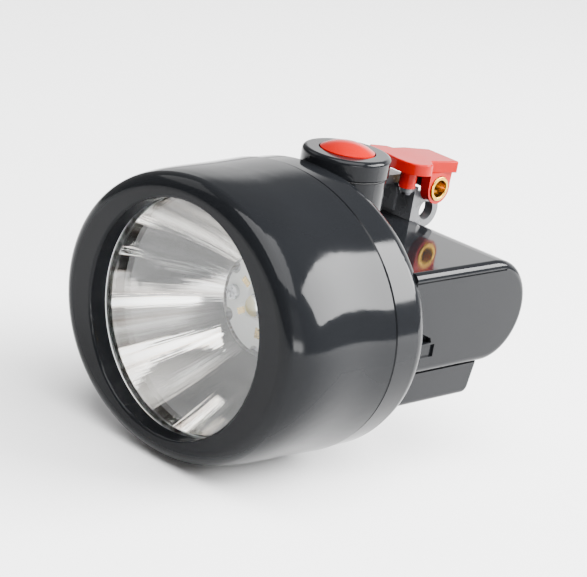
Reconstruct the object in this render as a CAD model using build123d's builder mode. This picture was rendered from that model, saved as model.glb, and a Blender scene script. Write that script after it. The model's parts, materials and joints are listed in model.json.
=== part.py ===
"""Cordless miner's cap lamp: oval head, crosswise battery box, push switch and charging contact.

Millimetres. +Z is up, -Y is the way the beam leaves, +X is the wearer's left.
The origin is the middle of the footprint: halfway along the lamp, on its middle plane,
at the height of the lowest point of the head.
Stations are distances back from the front of the bezel, heights are above the beam's axis.
"""

from build123d import *
from math import sqrt
import os

os.makedirs("parts", exist_ok=True)

# ---------------------------------------------------------------- driving dimensions
overall_length = 74.2
head_half_width = 36.0
oval_ratio = 0.84
axis_height = head_half_width * oval_ratio

seam_station = 27.8
bezel_shoulder_radius = 3.4
mouth_radius = 24.45
lip_radius = 0.6

band_half_width = 35.75
band_end_station = 34.4
shoulder_half_width = 35.3
head_back_station = 39.2
head_back_radius = 4.4

gasket_station = 4.25
lens_station = 4.9
lens_thickness = 1.6
lens_radius = 26.1
seat_radius = 26.3
reflector_station = 6.55
focal_length = 5.9
dish_vertex_station = 31.3
dish_bottom_station = 26.2
ledge_station = 31.0

box_half_width = 31.0
box_top = 16.0
box_end_radius = 11.2
box_end_station = 63.0
box_end_height = box_top - box_end_radius
box_bottom = box_end_height - box_end_radius
box_back_wall_station = head_back_station + 0.05
box_front_station = 36.6
ear_x = 24.0
wall = 1.8
cover_thickness = 1.7
cover_end_station = 65.3
base_half_width = 30.2
base_bottom = -13.4

tower_station = 43.9
tower_radius = 9.2
tower_top = 27.7
collar_radius = 9.5
collar_bottom = 28.05
collar_top = 32.4
button_hole_radius = 6.12
button_radius = 5.82
button_travel = 1.2

bracket_left = -6.6
bracket_right = 3.4
bracket_station = 64.4
bracket_top = 22.7
eye_station = 69.3
eye_height = 18.0
eye_hole_radius = 2.2
eye_outer_radius = 3.9
lug_thickness = 2.3

plate_top = 29.8
plate_thickness = 2.5
pivot_x = 2.5
pivot_station = 62.4
stem_radius = 1.85
stem_bottom = 23.6
block_inner_x = 3.5
block_outer_x = 5.8
sleeve_station = 69.35
sleeve_height = 23.65
sleeve_radius = 2.75
sleeve_bore_radius = 1.9

cell_radius = 9.15
gap = 0.05


def at(station):
    """Y of a station, measured back from the front of the bezel."""
    return station - overall_length / 2


def up(height):
    """Z of a height above the beam's axis."""
    return axis_height + height


def across(station):
    """Plane square to the beam, seen from the front: its x is X, its y is height."""
    return Plane(origin=(0, at(station), axis_height), x_dir=(1, 0, 0), z_dir=(0, -1, 0))


def level(height):
    """Horizontal plane at a height above the beam's axis."""
    return Plane.XY.offset(up(height))


def beside(x):
    """Upright plane along the lamp, its x is Y and its y is Z."""
    return Plane.YZ.offset(x)


def oval(half_width):
    """Outline of the head at one section, wider than it is high."""
    return Ellipse(half_width, half_width * oval_ratio)


def disc(station, radius, depth, hole=0.0):
    """Adds a round plate square to the beam that runs back from a station."""
    with BuildSketch(across(station)) as face:
        Circle(radius)
        if hole:
            Circle(hole, mode=Mode.SUBTRACT)
    extrude(face.sketch, amount=-depth)


def post(x, station, radius, bottom, top, mode=Mode.ADD):
    """Adds or cuts an upright cylinder between two heights."""
    with BuildSketch(level(bottom)) as face:
        with Locations((x, at(station))):
            Circle(radius)
    extrude(face.sketch, amount=top - bottom, mode=mode)


def slab(x0, x1, s0, s1, h0, h1, mode=Mode.ADD, corner=0.0):
    """Adds or cuts a box between two sides, two stations and two heights."""
    with BuildSketch(level(h0)) as face:
        with Locations(((x0 + x1) / 2, (at(s0) + at(s1)) / 2)):
            if corner:
                RectangleRounded(x1 - x0, s1 - s0, corner)
            else:
                Rectangle(x1 - x0, s1 - s0)
    extrude(face.sketch, amount=h1 - h0, mode=mode)


def crossways(x0, x1, station, height, radius, mode=Mode.ADD):
    """Adds or cuts a cylinder that lies across the lamp."""
    with BuildSketch(beside(x0)) as face:
        with Locations((at(station), up(height))):
            Circle(radius)
    extrude(face.sketch, amount=x1 - x0, mode=mode)


def write(piece, name):
    """Labels a finished piece and writes it."""
    piece.part.label = name
    export_step(piece.part, f"parts/{name}.step")


# ---------------------------------------------------------------- head, front to back
with BuildPart() as bezel:
    with BuildSketch(across(0)):
        Ellipse(31.6, 28.6)
    with BuildSketch(across(3)):
        Ellipse(33.9, 29.2)
    with BuildSketch(across(7)):
        Ellipse(35.1, 29.55)
    with BuildSketch(across(14)):
        Ellipse(35.45, 29.8)
    with BuildSketch(across(seam_station)):
        oval(head_half_width)
    loft()
    fillet(bezel.faces().sort_by(Axis.Y)[0].edges(), bezel_shoulder_radius)
    chamfer(bezel.faces().sort_by(Axis.Y)[-1].edges(), 0.35)
    with BuildSketch(across(0)):
        Circle(mouth_radius)
    extrude(amount=-reflector_station - 1, mode=Mode.SUBTRACT)
    fillet(bezel.faces().sort_by(Axis.Y)[0].inner_wires().edges(), lip_radius)
    with BuildSketch(across(gasket_station)):
        Circle(seat_radius)
    extrude(amount=-3.4, mode=Mode.SUBTRACT)
    with BuildSketch(across(7.6)):
        oval(31.6)
    with BuildSketch(across(24)):
        oval(32.2)
    loft(mode=Mode.SUBTRACT)
    with BuildSketch(across(24)):
        oval(33.6)
    extrude(amount=-6, mode=Mode.SUBTRACT)
write(bezel, "bezel")

with BuildPart() as lens_gasket:
    disc(gasket_station + gap, seat_radius - 0.15, 0.55, hole=mouth_radius + 0.35)
write(lens_gasket, "lens_gasket")

with BuildPart() as lens:
    disc(lens_station, lens_radius, lens_thickness)
    chamfer(lens.edges(), 0.2)
write(lens, "lens")


def dish_radius(station):
    """Radius of the parabolic mirror at a station."""
    return sqrt(4 * focal_length * (dish_vertex_station - station))


def dish_line(extra):
    """The mirror's parabola as one exact curve, moved outwards by a wall thickness."""
    large = dish_radius(reflector_station)
    small = dish_radius(dish_bottom_station)
    middle_station = dish_vertex_station - large * small / (4 * focal_length)
    return Bezier(
        (large + extra, at(reflector_station)),
        ((large + small) / 2 + extra, at(middle_station)),
        (small + extra, at(dish_bottom_station)),
    )


with BuildPart() as reflector:
    with BuildSketch(Plane.XY.offset(axis_height)):
        with BuildLine():
            inner = dish_line(0)
            outer = dish_line(1.4)
            Line(inner @ 0, outer @ 0)
            Line(inner @ 1, outer @ 1)
        make_face()
    revolve(axis=Axis((0, 0, axis_height), (0, 1, 0)))
    disc(reflector_station, lens_radius, 0.9, hole=dish_radius(reflector_station))
    disc(dish_bottom_station, 13.2, 2.2, hole=dish_radius(dish_bottom_station))
write(reflector, "reflector")

# ---------------------------------------------------------------- light source
board_station = 26.75
star_radius = 10.6
led_screw_x = 8.4
with BuildPart() as led_board:
    disc(board_station, star_radius, 1.6)
    with BuildSketch(across(board_station)):
        with PolarLocations(star_radius, 6, start_angle=30):
            Circle(1.4)
        with Locations((-led_screw_x, 0), (led_screw_x, 0)):
            Circle(0.9)
    extrude(amount=-1.6, mode=Mode.SUBTRACT)
write(led_board, "led_board")

with BuildPart() as led_pads:
    with BuildSketch(across(board_station)):
        with PolarLocations(6.4, 6, start_angle=30):
            Rectangle(2.2, 1.4)
    extrude(amount=0.12)
write(led_pads, "led_pads")

package_front = board_station - 1.4
with BuildPart() as led_package:
    with BuildSketch(across(board_station)):
        RectangleRounded(6.4, 6.4, 0.6)
    extrude(amount=1.4)
    with BuildSketch(across(package_front)):
        Circle(2.5)
    extrude(amount=-0.5, mode=Mode.SUBTRACT)
write(led_package, "led_package")

with BuildPart() as led_phosphor:
    disc(package_front + 0.1, 2.45, 0.35)
write(led_phosphor, "led_phosphor")

with BuildPart() as led_dome:
    with Locations((0, at(package_front - gap), axis_height)):
        Sphere(2.6)
    split(bisect_by=across(package_front - gap), keep=Keep.TOP)
write(led_dome, "led_dome")

sink_station = board_station + 1.65
with BuildPart() as heat_sink:
    with BuildSketch(across(sink_station)):
        oval(31.3)
        with Locations((0, -19), (0, 19)):
            RectangleRounded(16, 5, 1.5, mode=Mode.SUBTRACT)
        with Locations((-22, 0), (22, 0)):
            RectangleRounded(5, 18, 1.5, mode=Mode.SUBTRACT)
        with Locations((-led_screw_x, 0), (led_screw_x, 0)):
            Circle(0.9, mode=Mode.SUBTRACT)
    extrude(amount=-(ledge_station - gap - sink_station))
write(heat_sink, "heat_sink")

with BuildPart() as led_screws:
    for side in (-1, 1):
        with BuildSketch(across(board_station - 0.05)):
            with Locations((side * led_screw_x, 0)):
                Circle(0.8)
        extrude(amount=-4)
        with BuildSketch(across(board_station - 0.05)):
            with Locations((side * led_screw_x, 0)):
                Circle(1.6)
        extrude(amount=0.9)
        with BuildSketch(across(board_station - 0.95)):
            with Locations((side * led_screw_x, 0)):
                Rectangle(2.2, 0.5)
                Rectangle(0.5, 2.2)
        extrude(amount=-0.4, mode=Mode.SUBTRACT)
write(led_screws, "led_screws")

# ---------------------------------------------------------------- rear of the head
with BuildPart() as head_housing:
    with BuildSketch(across(band_end_station)):
        oval(shoulder_half_width)
    extrude(amount=-(head_back_station - band_end_station))
    fillet(head_housing.faces().sort_by(Axis.Y)[-1].edges(), head_back_radius)
    with BuildSketch(across(seam_station + 0.1)):
        oval(band_half_width)
    extrude(amount=-(band_end_station - seam_station - 0.1))
    chamfer(head_housing.faces().sort_by(Axis.Y)[0].edges(), 0.35)
    with BuildSketch(across(24.5)):
        oval(33.4)
    extrude(amount=-4)
    with BuildSketch(across(24.5)):
        oval(31.6)
    extrude(amount=-(ledge_station - 24.5), mode=Mode.SUBTRACT)
    with BuildSketch(across(ledge_station)):
        oval(29.6)
    extrude(amount=-(head_back_station - 2 - ledge_station), mode=Mode.SUBTRACT)
    with BuildSketch(across(36)):
        with Locations((0, 4)):
            RectangleRounded(14, 6, 1.5)
        with Locations((0, -9.6)):
            RectangleRounded(14, 3.6, 1.5)
    extrude(amount=-6, mode=Mode.SUBTRACT)
    post(0, tower_station, tower_radius + gap, 12.5, 40, mode=Mode.SUBTRACT)
    for x0, x1 in ((-box_half_width - gap, gap - ear_x), (ear_x - gap, box_half_width + gap)):
        slab(x0, x1, box_front_station - gap, 42, box_bottom - gap, box_top + gap, mode=Mode.SUBTRACT)
    for x0, x1 in ((-base_half_width - gap, gap - ear_x), (ear_x - gap, base_half_width + gap)):
        slab(x0, x1, box_front_station - gap, 42, base_bottom - gap, box_bottom, mode=Mode.SUBTRACT)
    post(0, tower_station, collar_radius + gap, tower_top, 40, mode=Mode.SUBTRACT)
write(head_housing, "head_housing")

with BuildPart() as head_seal:
    with BuildSketch(across(24 + gap)):
        oval(33.4)
        Ellipse(32.3, 32.3 * oval_ratio, mode=Mode.SUBTRACT)
    extrude(amount=-0.4)
write(head_seal, "head_seal")

# ---------------------------------------------------------------- battery box
with BuildPart() as box_envelope:
    with BuildSketch(beside(-box_half_width)):
        with BuildLine():
            Line((at(box_front_station), up(box_bottom)), (at(box_end_station), up(box_bottom)))
            ThreePointArc(
                (at(box_end_station), up(box_bottom)),
                (at(box_end_station + box_end_radius), up(box_end_height)),
                (at(box_end_station), up(box_top)),
            )
            Line((at(box_end_station), up(box_top)), (at(box_front_station), up(box_top)))
            Line((at(box_front_station), up(box_top)), (at(box_front_station), up(box_bottom)))
        make_face()
    extrude(amount=2 * box_half_width)
    rim = box_envelope.faces().sort_by(Axis.X)
    side_edges = rim[0].edges() + rim[-1].edges()
    fillet([e for e in side_edges if e.center().Y > at(box_front_station) + 1], 1.7)

split_height = box_top - cover_thickness
with BuildPart() as battery_case:
    add(box_envelope.part)
    slab(-ear_x, ear_x, 30, box_back_wall_station, -10, 20, mode=Mode.SUBTRACT)
    slab(-40, 40, 30, cover_end_station + gap, split_height - gap, 30, mode=Mode.SUBTRACT)
    for side in (-1, 1):
        slab(side * 31 - 0.35, side * 31 + 0.35, 36, cover_end_station, split_height - 0.3, 20,
             mode=Mode.SUBTRACT)
    with BuildSketch(beside(-box_half_width + wall)):
        with BuildLine():
            Line((at(41), up(box_bottom + wall)), (at(box_end_station), up(box_bottom + wall)))
            ThreePointArc(
                (at(box_end_station), up(box_bottom + wall)),
                (at(box_end_station + box_end_radius - wall), up(box_end_height)),
                (at(box_end_station), up(box_top - wall)),
            )
            Line((at(box_end_station), up(box_top - wall)), (at(box_end_station), up(20)))
            Line((at(box_end_station), up(20)), (at(41), up(20)))
            Line((at(41), up(20)), (at(41), up(box_bottom + wall)))
        make_face()
    extrude(amount=2 * (box_half_width - wall), mode=Mode.SUBTRACT)
    slab(-7, 7, 36, 42, 1, 7, mode=Mode.SUBTRACT)
    slab(-6, 6, 42.5, 47, -8, 0, mode=Mode.SUBTRACT, corner=1.5)
    for side in (-1, 1):
        for station in (44.2, 57.4):
            post(side * 27.2, station, 2.0, box_bottom + 0.6, -0.6)
            post(side * 27.2, station, 0.95, -8, -1.4, mode=Mode.SUBTRACT)
        with BuildSketch(beside(side * box_half_width)):
            with BuildLine():
                Polyline(
                    (at(39.6), up(3.5)),
                    (at(44.0), up(1.6)),
                    (at(44.5), up(0.6)),
                    (at(39.6), up(0.2)),
                    close=True,
                )
            make_face()
        extrude(amount=1.3, both=True, mode=Mode.SUBTRACT)
        slab(side * box_half_width - 0.5, side * box_half_width + 0.5, 39.6, 45.7, -2.6, 0.1,
             mode=Mode.SUBTRACT)
write(battery_case, "battery_case")

with BuildPart() as top_cover:
    add(box_envelope.part)
    slab(-40, 40, 30, cover_end_station, split_height, 40, mode=Mode.INTERSECT)
    slab(-ear_x, ear_x, 30, box_back_wall_station, 0, 40, mode=Mode.SUBTRACT)
    post(0, tower_station, tower_radius, split_height, tower_top)
    post(0, tower_station, 7.4, 17.5, tower_top + 1, mode=Mode.SUBTRACT)
    post(0, tower_station, 4.6, 10, 18, mode=Mode.SUBTRACT)
    for side in (-1, 1):
        slab(side * 28.2 - 0.6, side * 28.2 + 0.6, 44, 60, split_height - 1.4, split_height + 0.4)
write(top_cover, "top_cover")

with BuildPart() as base_housing:
    with BuildSketch(beside(-base_half_width)):
        with BuildLine():
            Polyline(
                (at(box_front_station), up(box_bottom - gap)),
                (at(62.5), up(box_bottom - gap)),
                (at(61.0), up(base_bottom)),
                (at(box_front_station), up(base_bottom)),
                close=True,
            )
        make_face()
    extrude(amount=2 * base_half_width)
    low = base_housing.edges().filter_by(Axis.X).sort_by(Axis.Z)[0:2]
    fillet(low.sort_by(Axis.Y)[-1], 2.0)
    ends = base_housing.faces().sort_by(Axis.X)
    end_edges = ends[0].edges() + ends[-1].edges()
    rounded = [e for e in end_edges
               if e.center().Y > at(box_front_station) + 1 and e.center().Z < up(box_bottom - 0.5)]
    fillet(rounded, 1.0)
    slab(-base_half_width + wall, base_half_width - wall, 41, 59.6, base_bottom + wall, 0,
         mode=Mode.SUBTRACT)
    slab(-ear_x, ear_x, 30, box_back_wall_station, -20, 0, mode=Mode.SUBTRACT)
    for side in (-1, 1):
        for station in (44.2, 57.4):
            post(side * 27.2, station, 2.9, base_bottom + 0.6, box_bottom - gap)
            post(side * 27.2, station, 1.2, base_bottom - 1, 0, mode=Mode.SUBTRACT)
            post(side * 27.2, station, 2.1, base_bottom - 1, base_bottom + 1.8, mode=Mode.SUBTRACT)
            post(side * 21.5, station, 1.6, base_bottom + 0.6, -10.45)
write(base_housing, "base_housing")

with BuildPart() as base_screws:
    for side in (-1, 1):
        for station in (44.2, 57.4):
            post(side * 27.2, station, 0.9, base_bottom + 1.0, -1.5)
            post(side * 27.2, station, 1.9, base_bottom + 0.45, base_bottom + 1.75)
            slab(side * 27.2 - 1.3, side * 27.2 + 1.3, station - 0.25, station + 0.25,
                 base_bottom + 0.4, base_bottom + 0.95, mode=Mode.SUBTRACT)
            slab(side * 27.2 - 0.25, side * 27.2 + 0.25, station - 1.3, station + 1.3,
                 base_bottom + 0.4, base_bottom + 0.95, mode=Mode.SUBTRACT)
write(base_screws, "base_screws")

# ---------------------------------------------------------------- cell and its contacts
with BuildPart() as cell:
    crossways(-24.6, 23.8, box_end_station, box_end_height, cell_radius)
    fillet(cell.edges().filter_by(GeomType.CIRCLE), 0.6)
    crossways(-24.9, -24.5, box_end_station, box_end_height, 7.0)
write(cell, "cell")

with BuildPart() as cell_cap:
    crossways(23.85, 25.0, box_end_station, box_end_height, 3.0)
    crossways(23.85, 24.05, box_end_station, box_end_height, 6.0)
write(cell_cap, "cell_cap")

with BuildPart() as cell_contact_plus:
    crossways(25.05, 25.5, box_end_station, box_end_height, 2.4)
    slab(25.45, 26.0, box_end_station - 4, box_end_station + 4, -1.5, 10.5)
    slab(25.45, 29.15, box_end_station - 4, box_end_station + 4, 10.1, 10.5)
    slab(28.75, 29.15, box_end_station - 4, box_end_station + 4, -1.5, 10.5)
write(cell_contact_plus, "cell_contact_plus")

with BuildPart() as cell_contact_minus:
    slab(-29.15, -28.7, box_end_station - 4, box_end_station + 4, -1.5, 11)
    with BuildLine():
        coil = Helix(
            pitch=1.15,
            height=3.45,
            radius=2.6,
            center=(-28.55, at(box_end_station), up(box_end_height)),
            direction=(1, 0, 0),
        )
    with BuildSketch(Plane(origin=coil @ 0, z_dir=coil % 0)):
        Circle(0.26)
    sweep()
write(cell_contact_minus, "cell_contact_minus")

# ---------------------------------------------------------------- driver
board_bottom = -10.4
with BuildPart() as driver_board:
    slab(-24, 24, 42.2, 59.0, board_bottom, board_bottom + 0.8, corner=1.5)
write(driver_board, "driver_board")

board_top = board_bottom + 0.85
with BuildPart() as driver_chips:
    slab(-4, 0, 49, 54, board_top, board_top + 1.3)
    slab(8, 14, 50, 53.4, board_top, board_top + 1.2)
    slab(-15, -10, 47.5, 50, board_top, board_top + 1.0)
write(driver_chips, "driver_chips")

with BuildPart() as driver_coil:
    slab(14.5, 20.5, 44, 49.4, board_top, board_top + 2.6, corner=1.2)
write(driver_coil, "driver_coil")

with BuildPart() as driver_capacitors:
    for x in (-20, -17):
        slab(x, x + 2.2, 52, 56, board_top, board_top + 1.4)
    for x in (3, 5.6):
        slab(x, x + 1.4, 55, 57, board_top, board_top + 0.8)
write(driver_capacitors, "driver_capacitors")

# ---------------------------------------------------------------- helmet clip
clip_top = base_bottom - gap
with BuildPart() as helmet_clip:
    with BuildSketch(beside(-8)):
        with BuildLine():
            clip_line = Polyline(
                (at(42), up(clip_top - 0.5)),
                (at(56.5), up(clip_top - 0.5)),
                (at(57.2), up(clip_top - 1.2)),
                (at(57.2), up(clip_top - 3.0)),
                (at(56.5), up(clip_top - 3.7)),
                (at(45.5), up(clip_top - 3.3)),
                (at(43.4), up(clip_top - 4.2)),
            )
            offset(clip_line, amount=0.45, side=Side.BOTH)
        make_face()
    extrude(amount=16)
    for station in (46.5, 52.5):
        post(0, station, 1.15, base_bottom - 1.2, base_bottom, mode=Mode.SUBTRACT)
        post(0, station, 2.2, base_bottom - 6, base_bottom - 2.2, mode=Mode.SUBTRACT)
write(helmet_clip, "helmet_clip")

# ---------------------------------------------------------------- switch
with BuildPart() as switch_body:
    slab(-4.6, 4.6, tower_station - 4.6, tower_station + 4.6, 17.55, 24.6, corner=0.8)
    post(0, tower_station, 1.75, 20.6, 25, mode=Mode.SUBTRACT)
    for side in (-1, 1):
        slab(side * 2.5 - 0.4, side * 2.5 + 0.4, tower_station - 0.15, tower_station + 0.15, 14.8, 17.6)
write(switch_body, "switch_body")

with BuildPart() as switch_plunger:
    post(0, tower_station, 1.4, 22.2, 27.0)
write(switch_plunger, "switch_plunger")

with BuildPart() as collar_gasket:
    post(0, tower_station, 9.0, tower_top + gap, collar_bottom - gap)
    post(0, tower_station, 7.6, tower_top - 1, collar_bottom + 1, mode=Mode.SUBTRACT)
write(collar_gasket, "collar_gasket")

with BuildPart() as switch_collar:
    post(0, tower_station, collar_radius, collar_bottom, collar_top)
    fillet(switch_collar.faces().sort_by(Axis.Z)[-1].edges(), 1.0)
    chamfer(switch_collar.faces().sort_by(Axis.Z)[0].edges(), 0.3)
    post(0, tower_station, button_hole_radius, collar_bottom - 1, collar_top + 1, mode=Mode.SUBTRACT)
    post(0, tower_station, 7.5, collar_bottom - 1, 30.9, mode=Mode.SUBTRACT)
write(switch_collar, "switch_collar")

button_crown = collar_top + 1.9
crown_sphere = 10.6
with BuildPart() as push_button:
    post(0, tower_station, button_radius, 30.7, button_crown + 0.5)
    with Locations((0, at(tower_station), up(button_crown - crown_sphere))):
        Sphere(crown_sphere, mode=Mode.INTERSECT)
    post(0, tower_station, 7.1, 29.7, 30.8)
    post(0, tower_station, 2.0, 27.05, 29.8)
write(push_button, "push_button")

spring_bottom = 24.7
spring_top = 29.6
with BuildPart() as return_spring:
    with BuildLine():
        turns = Helix(
            pitch=1.1,
            height=4.4,
            radius=3.6,
            center=(0, at(tower_station), up(spring_bottom + 0.25)),
        )
    with BuildSketch(Plane(origin=turns @ 0, z_dir=turns % 0)):
        Circle(0.24)
    sweep()
write(return_spring, "return_spring")

# ---------------------------------------------------------------- charging contact
with BuildPart() as charge_bracket:
    slab(bracket_left, bracket_right, bracket_station, bracket_station + 1.0, 10, bracket_top)
    for x0 in (bracket_left, bracket_right - lug_thickness):
        with BuildSketch(beside(x0)):
            with BuildLine():
                Polyline(
                    (at(bracket_station), up(10)),
                    (at(bracket_station), up(bracket_top)),
                    (at(bracket_station + 1.2), up(bracket_top)),
                    (at(eye_station + 1.0), up(eye_height + 3.6)),
                    (at(eye_station), up(eye_height - 3.4)),
                    (at(eye_station - 1), up(10)),
                    close=True,
                )
            make_face()
            with Locations((at(eye_station), up(eye_height))):
                Circle(eye_outer_radius)
        extrude(amount=lug_thickness)
    crossways(-8, 8, eye_station, eye_height, eye_hole_radius, mode=Mode.SUBTRACT)
    slab(-5.2, -1.2, 52, bracket_station + 1.0, 23.3, 25.2)
    slab(-5.2, -1.2, bracket_station - 0.8, bracket_station + 1.0, 17, 25.2)
    post(0, tower_station, tower_radius + gap, 10, 40, mode=Mode.SUBTRACT)
    slab(1.5, bracket_right, pivot_station, bracket_station + 1.0, bracket_top - 0.02, stem_bottom - gap)
    post(pivot_x, pivot_station, 1.5, bracket_top, stem_bottom - gap)
    post(pivot_x, pivot_station, 0.73, 10, 40, mode=Mode.SUBTRACT)
    crossways(-20, 20, box_end_station, box_end_height, box_end_radius + gap, mode=Mode.SUBTRACT)
    slab(-20, 20, 40, box_end_station, 0, box_top + gap, mode=Mode.SUBTRACT)
    slab(-20, 20, 60, 90, 0, 12, mode=Mode.SUBTRACT)
write(charge_bracket, "charge_bracket")

with BuildPart() as charge_cover:
    with BuildSketch(level(plate_top - plate_thickness)):
        with BuildLine():
            Line((6.9, at(73.4)), (4.9, at(66.1)))
            Line((4.9, at(66.1)), (6.9, at(64.6)))
            Spline(
                (6.9, at(64.6)),
                (7.1, at(62.4)),
                (5.6, at(60.2)),
                (2.6, at(59.3)),
                (-1.0, at(59.6)),
            )
            Line((-1.0, at(59.6)), (-8.0, at(60.4)))
            Line((-8.0, at(60.4)), (-9.2, at(61.6)))
            Line((-9.2, at(61.6)), (-7.3, at(64.9)))
            Line((-7.3, at(64.9)), (-5.8, at(65.4)))
            Line((-5.8, at(65.4)), (-5.4, at(68.5)))
            Line((-5.4, at(68.5)), (-2.6, at(73.9)))
            Line((-2.6, at(73.9)), (6.9, at(73.4)))
        make_face()
    extrude(amount=plate_thickness)
    fillet(charge_cover.edges().filter_by(Axis.Z), 0.45)
    fillet(charge_cover.faces().sort_by(Axis.Z)[-1].edges(), 0.3)
    post(pivot_x, pivot_station, stem_radius, stem_bottom, plate_top - plate_thickness)
    post(pivot_x, pivot_station, 0.65, stem_bottom - 1, 26.4, mode=Mode.SUBTRACT)
write(charge_cover, "charge_cover")

with BuildPart() as contact_block:
    with BuildSketch(beside(block_inner_x)):
        with BuildLine():
            Polyline(
                (at(sleeve_station - 3.5), up(sleeve_height)),
                (at(sleeve_station - 3.5), up(plate_top - plate_thickness - gap)),
                (at(sleeve_station + 3.5), up(plate_top - plate_thickness - gap)),
                (at(sleeve_station + 3.3), up(sleeve_height)),
                close=True,
            )
        make_face()
        with Locations((at(sleeve_station), up(sleeve_height))):
            Circle(3.45)
    extrude(amount=block_outer_x - block_inner_x)
    crossways(-1, 9, sleeve_station, sleeve_height, sleeve_radius + gap, mode=Mode.SUBTRACT)
write(contact_block, "contact_block")

with BuildPart() as contact_backing:
    slab(1.4, block_inner_x - gap, sleeve_station - 3.0, sleeve_station + 2.6, 23.65,
         plate_top - plate_thickness - gap)
write(contact_backing, "contact_backing")

with BuildPart() as brass_sleeve:
    crossways(block_inner_x, block_outer_x + 0.35, sleeve_station, sleeve_height, sleeve_radius)
    crossways(block_inner_x + 0.35, 9, sleeve_station, sleeve_height, sleeve_bore_radius,
              mode=Mode.SUBTRACT)
    fillet(brass_sleeve.faces().sort_by(Axis.X)[-1].edges(), 0.25)
write(brass_sleeve, "brass_sleeve")

with BuildPart() as pivot_screw:
    post(pivot_x, pivot_station, 0.66, bracket_top - 0.1, stem_bottom - 0.02)
    post(pivot_x, pivot_station, 0.6, stem_bottom - 0.1, 26.2)
    post(pivot_x, pivot_station, 1.15, bracket_top - 0.6, bracket_top - 0.06)
write(pivot_screw, "pivot_screw")

# ---------------------------------------------------------------- wiring
with BuildPart() as led_wires:
    for side in (-1, 1):
        with BuildLine():
            path = Spline(
                (side * 3.0, at(31.2), up(19)),
                (side * 3.0, at(33.5), up(14)),
                (side * 3.0, at(36.5), up(4.5)),
                (side * 3.0, at(42.5), up(4.0)),
                (side * 3.0, at(44.5), up(-2)),
                (side * 3.0, at(44.5), up(-9.2)),
            )
        with BuildSketch(Plane(origin=path @ 0, z_dir=path % 0)):
            Circle(0.45)
        sweep()
write(led_wires, "led_wires")
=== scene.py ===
"""Looks of the cordless miner's cap lamp: materials, studio and camera."""

import json
from math import cos, radians, sin

import bpy
from mathutils import Matrix, Vector

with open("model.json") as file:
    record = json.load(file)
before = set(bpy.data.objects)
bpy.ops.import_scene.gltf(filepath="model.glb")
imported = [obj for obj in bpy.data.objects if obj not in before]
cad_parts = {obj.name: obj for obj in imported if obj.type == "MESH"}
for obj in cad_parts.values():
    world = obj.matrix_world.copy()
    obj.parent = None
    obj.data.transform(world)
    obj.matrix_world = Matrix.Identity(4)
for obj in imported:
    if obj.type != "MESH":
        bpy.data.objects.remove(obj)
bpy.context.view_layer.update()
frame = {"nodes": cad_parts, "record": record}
nodes = frame["nodes"]
scene = bpy.context.scene

head_middle_height = 0.03024
aim_height = 0.03


# ---------------------------------------------------------------- material helpers
def new_material(name):
    """An empty node material with its Principled shader."""
    mat = bpy.data.materials.new(name)
    mat.use_nodes = True
    tree = mat.node_tree
    return mat, tree, tree.nodes["Principled BSDF"]


def noise(tree, scale, detail=4.0, rough=0.5, stretch=None):
    """Object-space noise, stretched along an axis if asked."""
    coords = tree.nodes.new("ShaderNodeTexCoord")
    mapping = tree.nodes.new("ShaderNodeMapping")
    if stretch:
        mapping.inputs["Scale"].default_value = stretch
    tree.links.new(coords.outputs["Object"], mapping.inputs["Vector"])
    tex = tree.nodes.new("ShaderNodeTexNoise")
    tex.inputs["Scale"].default_value = scale
    tex.inputs["Detail"].default_value = detail
    tex.inputs["Roughness"].default_value = rough
    tree.links.new(mapping.outputs["Vector"], tex.inputs["Vector"])
    return tex.outputs["Fac"]


def spread(tree, value, low, high, a=0.3, b=0.7):
    """Maps a 0..1 value from the window a..b to low..high."""
    ramp = tree.nodes.new("ShaderNodeMapRange")
    ramp.inputs["From Min"].default_value = a
    ramp.inputs["From Max"].default_value = b
    ramp.inputs["To Min"].default_value = low
    ramp.inputs["To Max"].default_value = high
    tree.links.new(value, ramp.inputs["Value"])
    return ramp.outputs["Result"]


def mix(tree, factor, first, second):
    """Blends two colours by a factor socket."""
    node = tree.nodes.new("ShaderNodeMix")
    node.data_type = "RGBA"
    node.inputs["A"].default_value = (*first, 1)
    node.inputs["B"].default_value = (*second, 1)
    tree.links.new(factor, node.inputs["Factor"])
    return node.outputs["Result"]


def bump(tree, shader, height, strength, distance):
    """Fine relief from a height socket."""
    node = tree.nodes.new("ShaderNodeBump")
    node.inputs["Strength"].default_value = strength
    node.inputs["Distance"].default_value = distance
    tree.links.new(height, node.inputs["Height"])
    tree.links.new(node.outputs["Normal"], shader.inputs["Normal"])


def arithmetic(tree, kind, first, second):
    """One arithmetic step; its inputs are numbers or sockets."""
    step = tree.nodes.new("ShaderNodeMath")
    step.operation = kind
    for socket, value in zip(step.inputs, (first, second)):
        if isinstance(value, (int, float)):
            socket.default_value = value
        else:
            tree.links.new(value, socket)
    return step.outputs[0]


def plastic(name, dark, light, rough_low, rough_high, grain=900.0, relief=0.04, shine=0.5):
    """Moulded plastic: faint colour drift, uneven polish and a fine skin."""
    mat, tree, shader = new_material(name)
    drift = noise(tree, 60, detail=3)
    tree.links.new(mix(tree, drift, dark, light), shader.inputs["Base Color"])
    polish = noise(tree, 140, detail=6, rough=0.6)
    tree.links.new(spread(tree, polish, rough_low, rough_high), shader.inputs["Roughness"])
    shader.inputs["Specular IOR Level"].default_value = shine
    skin = noise(tree, grain, detail=3)
    bump(tree, shader, skin, relief, 0.0002)
    return mat


def metal(name, colour, rough_low, rough_high, stretch=(1, 1, 1), grain=700.0):
    """Bare or plated metal with fine drawn lines."""
    mat, tree, shader = new_material(name)
    shader.inputs["Metallic"].default_value = 1.0
    lines = noise(tree, grain, detail=4, stretch=stretch)
    darker = tuple(c * 0.86 for c in colour)
    tree.links.new(mix(tree, lines, darker, colour), shader.inputs["Base Color"])
    tree.links.new(spread(tree, lines, rough_low, rough_high), shader.inputs["Roughness"])
    bump(tree, shader, lines, 0.05, 0.0001)
    return mat


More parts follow.
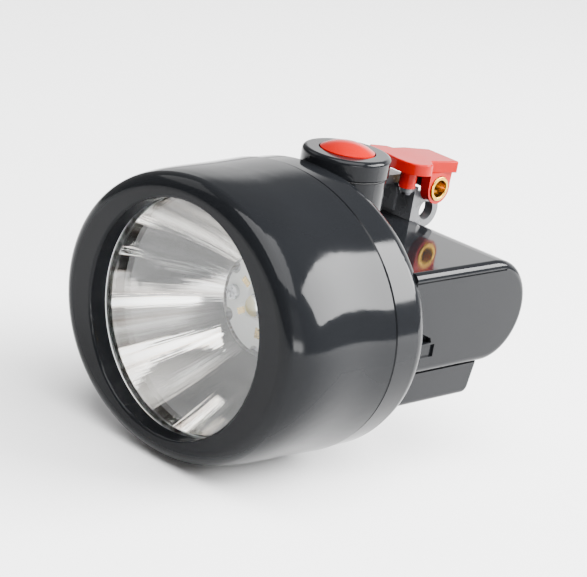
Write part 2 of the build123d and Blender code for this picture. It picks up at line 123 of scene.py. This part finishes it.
def mirror(name):
    """Bright metal coat of the bowl, with streaks that run from its rim to its bottom: dark brownish and
    bright bands in its colour are painted reflection, and the same streaks give a real fine relief.
    """
    turns = 9.0
    stations = 14.0
    mat, tree, shader = new_material(name)
    shader.inputs["Metallic"].default_value = 1.0
    shader.inputs["Roughness"].default_value = 0.03
    coords = tree.nodes.new("ShaderNodeTexCoord")
    place = tree.nodes.new("ShaderNodeSeparateXYZ")
    tree.links.new(coords.outputs["Object"], place.inputs[0])
    over_middle = arithmetic(tree, "SUBTRACT", place.outputs[2], head_middle_height)
    turn_round = arithmetic(tree, "ARCTAN2", place.outputs[0], over_middle)
    streak_place = tree.nodes.new("ShaderNodeCombineXYZ")
    tree.links.new(arithmetic(tree, "MULTIPLY", turn_round, turns), streak_place.inputs[0])
    tree.links.new(arithmetic(tree, "MULTIPLY", place.outputs[1], stations), streak_place.inputs[1])
    streaks = tree.nodes.new("ShaderNodeTexNoise")
    streaks.inputs["Scale"].default_value = 1.6
    streaks.inputs["Detail"].default_value = 4.0
    tree.links.new(streak_place.outputs[0], streaks.inputs["Vector"])
    # Painted reflection: the streak noise sets dark brownish and bright bands in the coat's colour that
    # stand in for the room reflected in the bowl; the bump below from the same noise is real relief.
    painted_reflection_mask = spread(tree, streaks.outputs["Fac"], 0.0, 1.0)
    painted_reflection_colour = mix(tree, painted_reflection_mask, (0.34, 0.30, 0.27), (0.74, 0.74, 0.73))
    tree.links.new(painted_reflection_colour, shader.inputs["Base Color"])
    bump(tree, shader, streaks.outputs["Fac"], 0.12, 0.0006)
    return mat


def clear_plastic(name):
    """Clear window with a faint uneven film."""
    mat, tree, shader = new_material(name)
    shader.inputs["Base Color"].default_value = (0.97, 0.985, 0.985, 1)
    shader.inputs["Transmission Weight"].default_value = 1.0
    shader.inputs["IOR"].default_value = 1.45
    film = noise(tree, 90, detail=5)
    tree.links.new(spread(tree, film, 0.0, 0.03), shader.inputs["Roughness"])
    return mat


def pale_paper(name):
    """Plain backdrop paper with a faint drift of tone."""
    mat, tree, shader = new_material(name)
    paper = noise(tree, 3, detail=2)
    tree.links.new(mix(tree, paper, (0.80, 0.80, 0.80), (0.83, 0.83, 0.83)), shader.inputs["Base Color"])
    shader.inputs["Roughness"].default_value = 0.6
    return mat


# ---------------------------------------------------------------- materials
gloss_black = plastic("gloss_black", (0.0048, 0.0052, 0.0060), (0.0065, 0.0070, 0.0080), 0.06, 0.12,
                      grain=500, relief=0.02, shine=0.09)
satin_black = plastic("black_plastic", (0.010, 0.010, 0.011), (0.018, 0.018, 0.020), 0.28, 0.42,
                      relief=0.12)
rubber_black = plastic("black_rubber", (0.012, 0.012, 0.013), (0.022, 0.022, 0.023), 0.5, 0.7,
                       relief=0.2)
red_plastic = plastic("red_plastic", (0.27, 0.0007, 0.0001), (0.32, 0.0011, 0.0002), 0.14, 0.24,
                      relief=0.05, shine=0.10)
bracket_black = plastic("bracket_black", (0.050, 0.052, 0.056), (0.066, 0.068, 0.073), 0.22, 0.34,
                        relief=0.06)
white_board = plastic("white_board", (0.88, 0.88, 0.84), (0.93, 0.93, 0.89), 0.3, 0.4)
clear_silicone = plastic("clear_silicone", (0.72, 0.74, 0.75), (0.80, 0.82, 0.83), 0.12, 0.25,
                         relief=0.1, shine=0.8)
white_ceramic = plastic("white_ceramic", (0.70, 0.69, 0.64), (0.78, 0.77, 0.72), 0.4, 0.5)
phosphor = plastic("yellow_phosphor", (0.80, 0.55, 0.05), (0.88, 0.66, 0.10), 0.45, 0.55)
cell_wrap = plastic("cell_wrap", (0.03, 0.16, 0.38), (0.05, 0.20, 0.44), 0.2, 0.3)
green_board = plastic("green_board", (0.01, 0.10, 0.03), (0.02, 0.14, 0.045), 0.25, 0.35)
tan_ceramic = plastic("tan_ceramic", (0.36, 0.25, 0.12), (0.44, 0.31, 0.16), 0.4, 0.5)
wire_red = plastic("wire_red", (0.45, 0.02, 0.01), (0.52, 0.03, 0.015), 0.35, 0.45)
steel = metal("steel", (0.52, 0.53, 0.55), 0.24, 0.36, stretch=(1, 6, 1))
black_steel = metal("black_steel", (0.06, 0.06, 0.065), 0.3, 0.4)
aluminium = metal("bare_aluminium", (0.74, 0.75, 0.77), 0.28, 0.40)
gold = metal("gold_pads", (0.86, 0.63, 0.24), 0.2, 0.3)
brass = metal("brass", (0.46, 0.27, 0.035), 0.16, 0.28, stretch=(8, 1, 1))

mirror_coat = mirror("mirror_coat")
clear_lens = clear_plastic("clear_lens")

finishes = {
    "gloss_black": gloss_black,
    "black_plastic": satin_black,
    "black_rubber": rubber_black,
    "clear_lens": clear_lens,
    "mirror_coat": mirror_coat,
    "white_board": white_board,
    "gold_pads": gold,
    "white_ceramic": white_ceramic,
    "yellow_phosphor": phosphor,
    "steel": steel,
    "black_steel": black_steel,
    "bare_aluminium": aluminium,
    "cell_wrap": cell_wrap,
    "green_board": green_board,
    "tan_ceramic": tan_ceramic,
    "red_plastic": red_plastic,
    "brass": brass,
    "wire_red": wire_red,
}
own_looks = {"charge_bracket": bracket_black, "lens_gasket": clear_silicone}
for part in frame["record"]["subparts"]:
    coats = nodes[part["node"]].data.materials
    coats.clear()
    coats.append(own_looks.get(part["node"], finishes[part["material_slot"]]))

# ---------------------------------------------------------------- studio
floor_side = 8
bpy.ops.mesh.primitive_plane_add(size=floor_side, location=(0, 0, 0))
floor = bpy.context.object
floor.name = "studio_floor"
floor.data.materials.append(pale_paper("studio_floor"))

world = bpy.data.worlds.new("studio")
scene.world = world
world.use_nodes = True
sky = world.node_tree
sky.nodes["Background"].inputs["Color"].default_value = (1, 1, 1, 1)


def sky_edge(value, outside, inside):
    """0 at outside, 1 at inside, smooth between them."""
    edge = sky.nodes.new("ShaderNodeMapRange")
    edge.interpolation_type = "SMOOTHSTEP"
    edge.inputs["From Min"].default_value = outside
    edge.inputs["From Max"].default_value = inside
    sky.links.new(value, edge.inputs["Value"])
    return edge.outputs[0]


def sky_window(value, low, high, soft):
    """1 between low and high, 0 outside, with soft edges."""
    rise = sky_edge(value, low - soft, low + soft)
    fall = sky_edge(value, high + soft, high - soft)
    return arithmetic(sky, "MULTIPLY", rise, fall)


look = sky.nodes.new("ShaderNodeTexCoord")
way = sky.nodes.new("ShaderNodeSeparateXYZ")
sky.links.new(look.outputs["Generated"], way.inputs[0])
way_round = arithmetic(sky, "ARCTAN2", way.outputs[0], arithmetic(sky, "MULTIPLY", way.outputs[1], -1.0))
way_up = way.outputs[2]

# Bright and dark patches of the room: added strength; first and last direction round the lamp in radians,
# 0 at the front and +X positive, and the softness of those edges; the same for the height, from -1 to 1.
patches = (
    (30.0, 1.00, 1.50, 0.10, -0.3, 0.12, 0.05),
    (1.4, 1.00, 1.50, 0.10, 0.09, 0.50, 0.08),
    (2.8, 2.95, 3.60, 0.25, -0.2, 0.40, 0.10),
    (2.8, -3.60, -2.30, 0.25, -0.2, 0.40, 0.10),
    (-0.36, -0.9, 0.85, 0.15, -1.0, 1.2, 0.15),
)
level = 0.45
for strength, turn0, turn1, turn_soft, up0, up1, up_soft in patches:
    across = sky_window(way_round, turn0, turn1, turn_soft)
    upright = sky_window(way_up, up0, up1, up_soft)
    patch = arithmetic(sky, "MULTIPLY", across, upright)
    level = arithmetic(sky, "ADD", arithmetic(sky, "MULTIPLY", patch, strength), level)
sky.links.new(level, sky.nodes["Background"].inputs["Strength"])


def softbox(name, azimuth, elevation, distance, width, height, power):
    """Rectangular light that faces the lamp; azimuth 0 is the front, 90 is the +X side.

    Angles are in degrees, lengths in metres and the power in watts.
    """
    a = radians(azimuth)
    e = radians(elevation)
    aim = Vector((0, 0, aim_height))
    place = aim + distance * Vector((sin(a) * cos(e), -cos(a) * cos(e), sin(e)))
    data = bpy.data.lights.new(name, "AREA")
    data.shape = "RECTANGLE"
    data.size = width
    data.size_y = height
    data.energy = power
    obj = bpy.data.objects.new(name, data)
    obj.location = place
    obj.rotation_euler = (aim - place).to_track_quat("-Z", "Y").to_euler()
    scene.collection.objects.link(obj)


softbox("key_top", 60, 70, 1.2, 1.2, 1.2, 58)
softbox("side_right", 138, 32, 1.0, 0.8, 0.5, 66)
softbox("side_left", -70, 40, 1.2, 0.7, 0.5, 3)

# ---------------------------------------------------------------- camera
sensor_width = 36.0
lens_per_width = 3.747871
camera_place = (0.29150, -0.33203, 0.17445)
right = Vector((0.70210, 0.69230, 0.16660))
upward = Vector((-0.33091, 0.11005, 0.93720))
back = Vector((0.63051, -0.71316, 0.30636))
camera_data = bpy.data.cameras.new("camera")
camera_data.sensor_width = sensor_width
camera_data.lens = sensor_width * lens_per_width
camera_data.clip_start = 0.01
camera = bpy.data.objects.new("camera", camera_data)
turn = Matrix((right, upward, back)).transposed().to_4x4()
camera.matrix_world = Matrix.Translation(camera_place) @ turn
scene.collection.objects.link(camera)
scene.camera = camera
